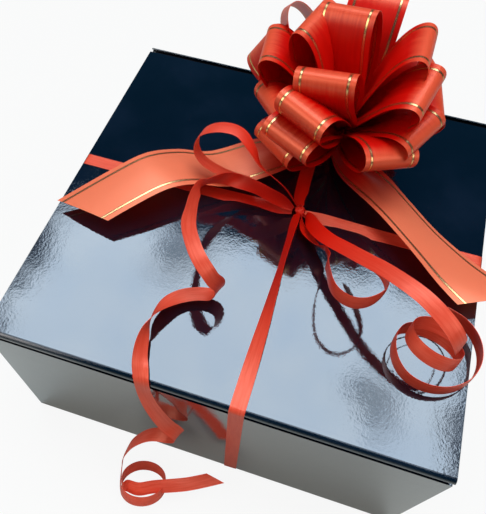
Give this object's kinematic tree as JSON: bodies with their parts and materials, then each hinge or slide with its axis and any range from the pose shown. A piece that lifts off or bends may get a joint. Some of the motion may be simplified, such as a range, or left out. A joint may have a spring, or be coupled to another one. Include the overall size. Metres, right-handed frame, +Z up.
{
  "type": "gift box",
  "caption": "Square rigid gift box with a hinged lid and a magnetic front flap, tied with curled ribbon and topped with a gathered loop bow.",
  "frame": {"origin": "centre of the box's underside, on the surface that it stands on; the ribbons, the bow and the tails are outside this symmetry", "axes": "+Z up, -Y out of the front flap, +X to the right as seen from the front"},
  "size_m": [0.3261, 0.3509, 0.2431],
  "materials": {
    "board_wrap": "glossy black laminated paper over greyboard",
    "hinge_paper": "creased glossy black laminated paper",
    "tray_wrap": "satin black paper over greyboard",
    "lining_paper": "matt black lining paper",
    "curling_ribbon": "satin coral red polypropylene ribbon with a fine lengthwise grain",
    "bow_ribbon": "satin coral red ribbon with a metallic gold line near each edge",
    "steel": "thin tinned steel disc",
    "magnet": "nickel plated"
  },
  "bodies": {
    "base": {"base_board": "board_wrap", "spine_board": "board_wrap", "tray_floor": "tray_wrap", "tray_front_wall": "tray_wrap", "tray_back_wall": "tray_wrap", "tray_left_wall": "tray_wrap", "tray_right_wall": "tray_wrap", "tray_liner": "lining_paper", "steel_discs": "steel", "lid_crease": "hinge_paper", "tie_under": "curling_ribbon", "tie_left_side": "curling_ribbon", "tie_right_side": "curling_ribbon", "tie_back": "curling_ribbon"},
    "lid": {"lid_board": "board_wrap", "lid_liner": "lining_paper", "flap_crease": "hinge_paper", "tie_across": "curling_ribbon", "tie_top_front": "curling_ribbon", "tie_top_back": "curling_ribbon", "knot": "curling_ribbon", "bow_neck": "bow_ribbon", "bow_string": "bow_ribbon", "bow_loops_low": "bow_ribbon", "bow_loops_middle": "bow_ribbon", "bow_loops_top": "bow_ribbon", "bow_tail_left": "bow_ribbon", "bow_tail_right": "bow_ribbon", "curl_upper_left": "curling_ribbon", "curl_lower_left": "curling_ribbon", "curl_small_right": "curling_ribbon", "curl_right": "curling_ribbon"},
    "flap": {"flap_board": "board_wrap", "flap_liner": "lining_paper", "magnets": "magnet", "tie_front": "curling_ribbon", "curl_front": "curling_ribbon"}
  },
  "joints": [
    {"name": "lid_hinge", "type": "hinge", "parent": "base", "child": "lid", "pos_m": [0, 0.1448, 0.1398], "axis": [-1, 0, 0], "range_deg": [0, 105]},
    {"name": "flap_hinge", "type": "hinge", "parent": "lid", "child": "flap", "pos_m": [0, -0.1448, 0.1398], "axis": [-1, 0, 0], "range_deg": [0, 90]}
  ]
}
